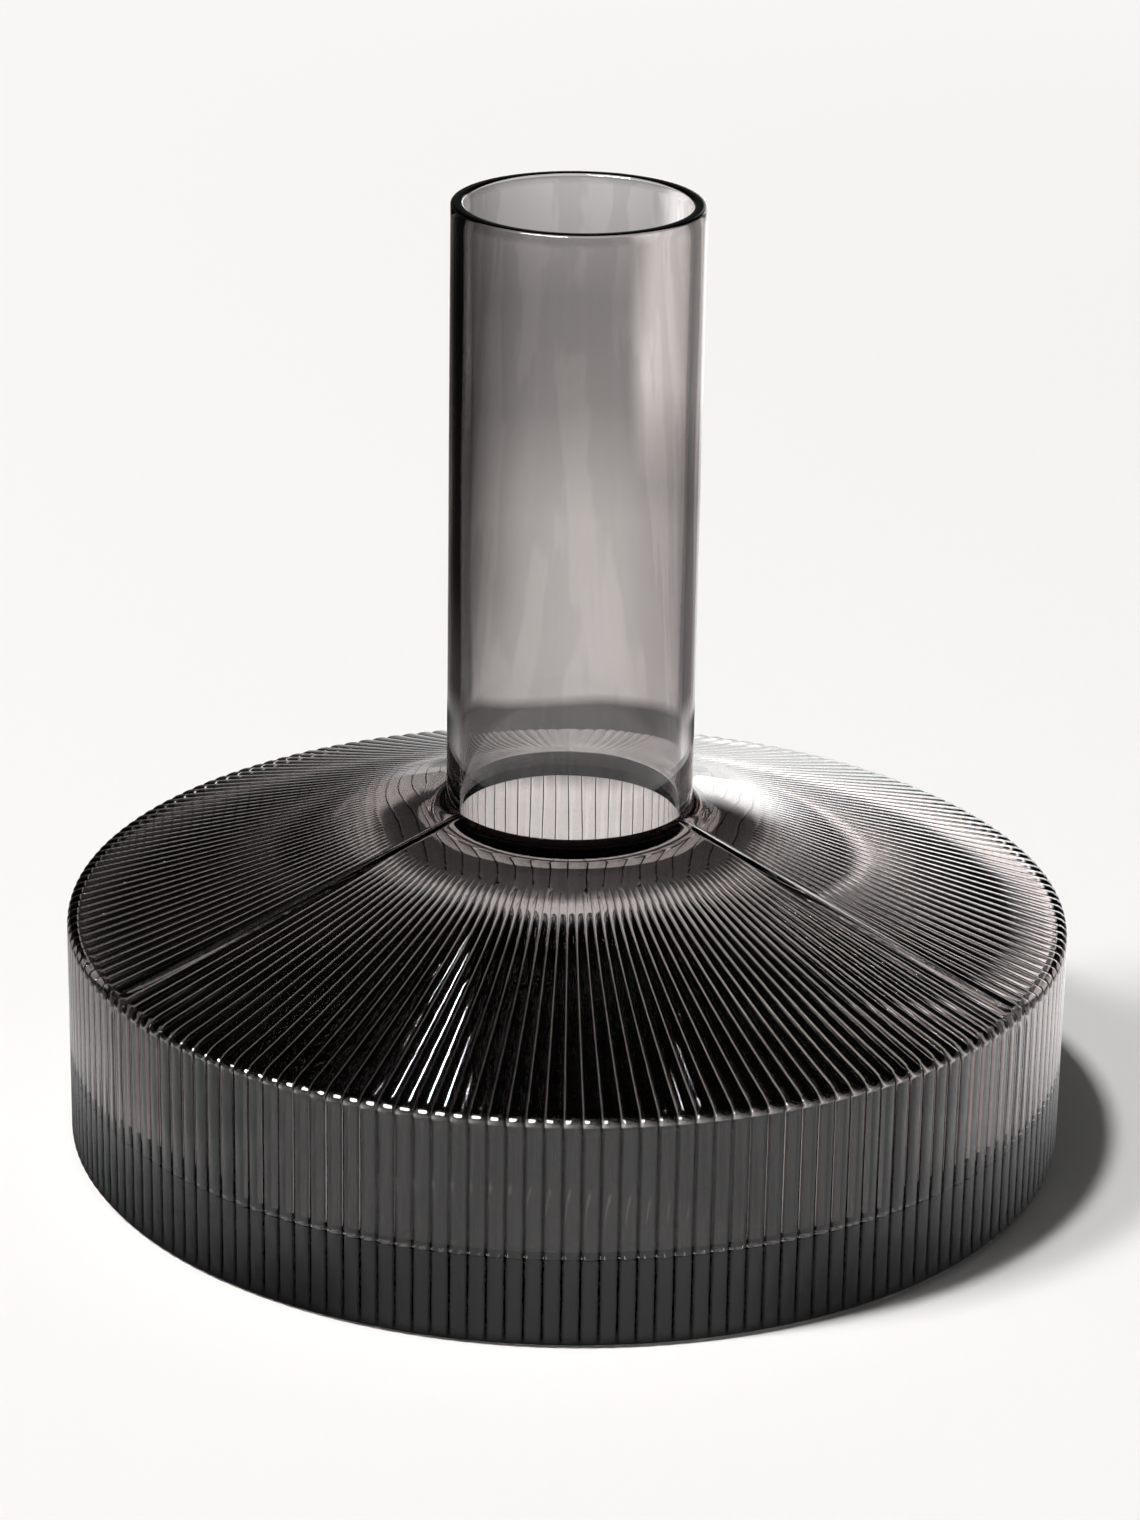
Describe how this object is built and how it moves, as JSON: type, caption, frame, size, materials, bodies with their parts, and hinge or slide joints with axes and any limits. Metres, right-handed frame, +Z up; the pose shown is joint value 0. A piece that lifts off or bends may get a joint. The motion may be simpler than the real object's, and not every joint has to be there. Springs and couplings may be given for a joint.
{
  "type": "ribbed bottle vase",
  "caption": "Smoked glass vase with a wide low ribbed drum body, a shallow cone shoulder, a thick solid base and a tall straight neck.",
  "frame": {"origin": "centre of the flat underside of the base, on the surface that the vase stands on", "axes": "+Z up along the neck, which is the axis of revolution; the front of the vase is -Y, and its ribs make every bearing alike"},
  "size_m": [0.23, 0.23, 0.2195],
  "materials": {
    "smoked_glass_base": "clear smoke-grey glass, pressed ribs on the side, ground flat underneath",
    "smoked_glass_body": "clear smoke-grey glass, mould-pressed ribs outside, fire-smooth inside",
    "smoked_glass_collar": "clear smoke-grey glass, smooth, thick enough to look nearly black",
    "smoked_glass_neck": "clear smoke-grey glass, smooth, slightly uneven inside, cut and polished rim"
  },
  "bodies": {
    "root": {"base_slab": "smoked_glass_base", "ribbed_shell": "smoked_glass_body", "neck_collar": "smoked_glass_collar", "neck_tube": "smoked_glass_neck"}
  },
  "joints": []
}
